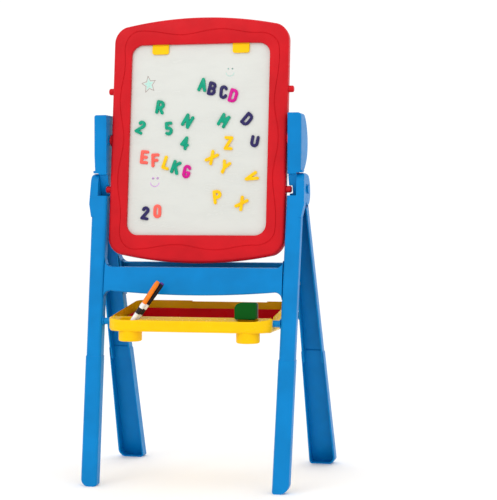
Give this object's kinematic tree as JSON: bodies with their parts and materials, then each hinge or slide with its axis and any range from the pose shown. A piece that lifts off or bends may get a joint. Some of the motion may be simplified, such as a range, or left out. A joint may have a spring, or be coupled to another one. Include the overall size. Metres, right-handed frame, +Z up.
{
  "type": "kids easel",
  "caption": "Folding plastic A-frame children's easel with a turning whiteboard and chalkboard, storage tray, magnetic characters, markers and an eraser.",
  "frame": {"origin": "on the floor, midway between the two sides and midway from the front feet to the rear feet", "axes": "+Z up, -Y is the side the child stands on, +X is to that child's right"},
  "size_m": [0.517, 0.418, 1.0008],
  "materials": {
    "blue_frame": "satin moulded polypropylene",
    "red_frame": "satin moulded polypropylene",
    "red_liner": "satin moulded polypropylene",
    "yellow_tray": "glossy moulded polypropylene",
    "screw_steel": "zinc plated",
    "whiteboard": "gloss white dry-wipe enamel",
    "chalkboard": "matte slate paint",
    "core_board": "foamed plastic core",
    "eraser_back": "moulded foam",
    "eraser_felt": "felt pad",
    "orange_cap": "gloss",
    "black_cap": "gloss",
    "marker_white": "gloss",
    "green_magnet": "gloss",
    "navy_magnet": "gloss",
    "magenta_magnet": "gloss",
    "coral_magnet": "gloss",
    "yellow_magnet": "gloss"
  },
  "bodies": {
    "front_frame": {"front_crossbar": "blue_frame", "front_crossbar_screws": "screw_steel", "left_fold_pin": "blue_frame", "left_front_lower_leg": "blue_frame", "left_front_tray_peg": "blue_frame", "left_front_upper_leg": "blue_frame", "right_fold_pin": "blue_frame", "right_front_lower_leg": "blue_frame", "right_front_tray_peg": "blue_frame", "right_front_upper_leg": "blue_frame"},
    "rear_frame": {"left_hub_cover": "blue_frame", "left_rear_lower_leg": "blue_frame", "left_rear_tray_peg": "blue_frame", "left_rear_upper_leg": "blue_frame", "rear_crossbar": "blue_frame", "rear_crossbar_screws": "screw_steel", "right_hub_cover": "blue_frame", "right_rear_lower_leg": "blue_frame", "right_rear_tray_peg": "blue_frame", "right_rear_upper_leg": "blue_frame"},
    "board": {"board_core": "core_board", "board_frame_screws": "screw_steel", "board_front_frame": "red_frame", "board_rear_frame": "red_frame", "chalkboard_panel": "chalkboard", "left_board_pivot": "red_frame", "left_index_pins": "red_frame", "right_board_pivot": "red_frame", "right_index_pins": "red_frame", "whiteboard_panel": "whiteboard"},
    "left_clip": {"left_paper_clip": "yellow_tray"},
    "right_clip": {"right_paper_clip": "yellow_tray"},
    "tray": {"left_tray_cup": "yellow_tray", "right_tray_cup": "yellow_tray", "tray_body": "yellow_tray", "tray_liner": "red_liner"},
    "left_marker": {"left_marker_body": "marker_white", "left_marker_cap": "orange_cap"},
    "right_marker": {"right_marker_body": "marker_white", "right_marker_cap": "black_cap"},
    "eraser": {"eraser_back": "eraser_back", "eraser_felt": "eraser_felt"},
    "coral_magnets": {"coral_magnets": "coral_magnet"},
    "green_magnets": {"green_magnets": "green_magnet"},
    "magenta_magnets": {"magenta_magnets": "magenta_magnet"},
    "navy_magnets": {"navy_magnets": "navy_magnet"},
    "yellow_magnets": {"yellow_magnets": "yellow_magnet"}
  },
  "joints": [
    {"name": "frame_fold", "type": "hinge", "parent": "front_frame", "child": "rear_frame", "pos_m": [0, -0.059, 0.628], "axis": [-1, 0, 0], "range_deg": [0, 28]},
    {"name": "board_flip", "type": "hinge", "parent": "rear_frame", "child": "board", "pos_m": [0, -0.066, 0.7345], "axis": [1, 0, 0], "continuous": true},
    {"name": "tray_drop", "type": "hinge", "parent": "rear_frame", "child": "tray", "pos_m": [0, 0.049, 0.35], "axis": [-1, 0, 0], "range_deg": [-112, 0]},
    {"name": "left_clip_lift", "type": "hinge", "parent": "board", "child": "left_clip", "pos_m": [-0.09, -0.04866, 0.94591], "axis": [-1, 0, 0], "range_deg": [0, 16], "stiffness_Nm_per_rad": 0.08, "springref_deg": -17.19},
    {"name": "right_clip_lift", "type": "hinge", "parent": "board", "child": "right_clip", "pos_m": [0.0895, -0.04866, 0.94591], "axis": [-1, 0, 0], "range_deg": [0, 16], "stiffness_Nm_per_rad": 0.08, "springref_deg": -17.19},
    {"name": "green_magnets_pull", "type": "slide", "parent": "board", "child": "green_magnets", "axis": [0, -0.9934, 0.1146], "range_m": [0, 0.02]},
    {"name": "navy_magnets_pull", "type": "slide", "parent": "board", "child": "navy_magnets", "axis": [0, -0.9934, 0.1146], "range_m": [0, 0.02]},
    {"name": "magenta_magnets_pull", "type": "slide", "parent": "board", "child": "magenta_magnets", "axis": [0, -0.9934, 0.1146], "range_m": [0, 0.02]},
    {"name": "coral_magnets_pull", "type": "slide", "parent": "board", "child": "coral_magnets", "axis": [0, -0.9934, 0.1146], "range_m": [0, 0.02]},
    {"name": "yellow_magnets_pull", "type": "slide", "parent": "board", "child": "yellow_magnets", "axis": [0, -0.9934, 0.1146], "range_m": [0, 0.02]},
    {"name": "left_marker_lift", "type": "slide", "parent": "tray", "child": "left_marker", "axis": [0.5592, 0, 0.829], "range_m": [0, 0.045]},
    {"name": "right_marker_lift", "type": "slide", "parent": "tray", "child": "right_marker", "axis": [0.5962, 0, 0.8028], "range_m": [0, 0.045]},
    {"name": "eraser_lift", "type": "slide", "parent": "tray", "child": "eraser", "axis": [0, 0, 1], "range_m": [0, 0.05]}
  ],
  "couplings": [
    {"joint": "tray_drop", "follows": "frame_fold", "ratio": -4}
  ]
}
